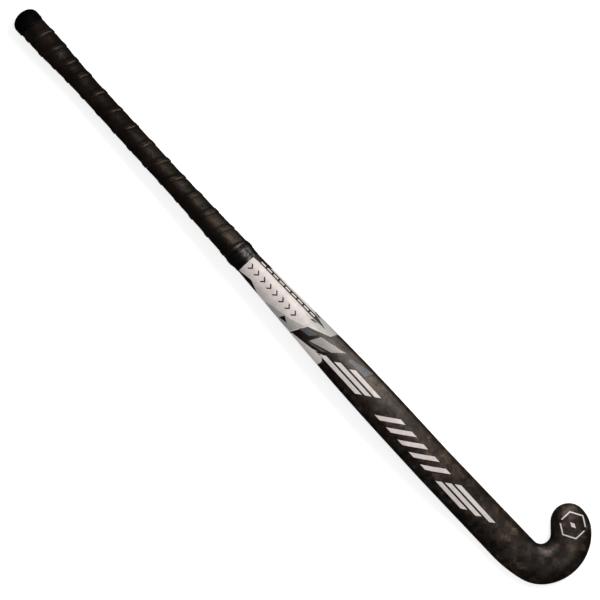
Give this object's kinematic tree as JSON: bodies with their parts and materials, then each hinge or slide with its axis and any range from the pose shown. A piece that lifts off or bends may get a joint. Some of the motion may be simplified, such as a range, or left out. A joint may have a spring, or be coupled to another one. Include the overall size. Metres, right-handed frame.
{
  "type": "field hockey stick",
  "caption": "Adult composite field hockey stick with a bowed shaft, curled hook head with one flat playing face, wound cushion grip and printed transfers",
  "frame": {"origin": "on the flat playing face, on the shaft's centre line, level with the centre of the hook", "axes": "+X runs along the shaft from the butt to the hook, +Y to the toe side, +Z from the playing face out of the rounded back; the stick lies face down on z = 0"},
  "size_m": [0.9269, 0.1177, 0.0443],
  "materials": {
    "carbon_shell": "clear gloss over blotchy woven carbon",
    "inner_carbon": "matte cured laminate",
    "core_foam": "fine closed-cell foam",
    "cap_rubber": "smooth semi-matte rubber",
    "grip_cushion": "soft grained polyurethane",
    "band_vinyl": "glossy wrinkled vinyl",
    "ink_white": "lacquered print",
    "ink_black": "lacquered print",
    "ink_grey": "lacquered print with fine lines",
    "ink_slate": "lacquered print"
  },
  "bodies": {
    "root": {"outer_shell": "carbon_shell", "toe_side_tube": "inner_carbon", "heel_side_tube": "inner_carbon", "head_core": "core_foam", "handle_foam": "core_foam", "end_cap": "cap_rubber", "grip_tape": "grip_cushion", "finishing_tape": "band_vinyl", "panel_transfer": "ink_white", "arrow_transfer": "ink_black", "dash_transfer": "ink_white", "chevron_transfer": "ink_black", "shade_transfer": "ink_grey", "ribbed_block_transfer": "ink_grey", "slate_block_transfer": "ink_slate", "speed_bar_transfer": "ink_white", "head_badge": "ink_white"}
  },
  "joints": []
}
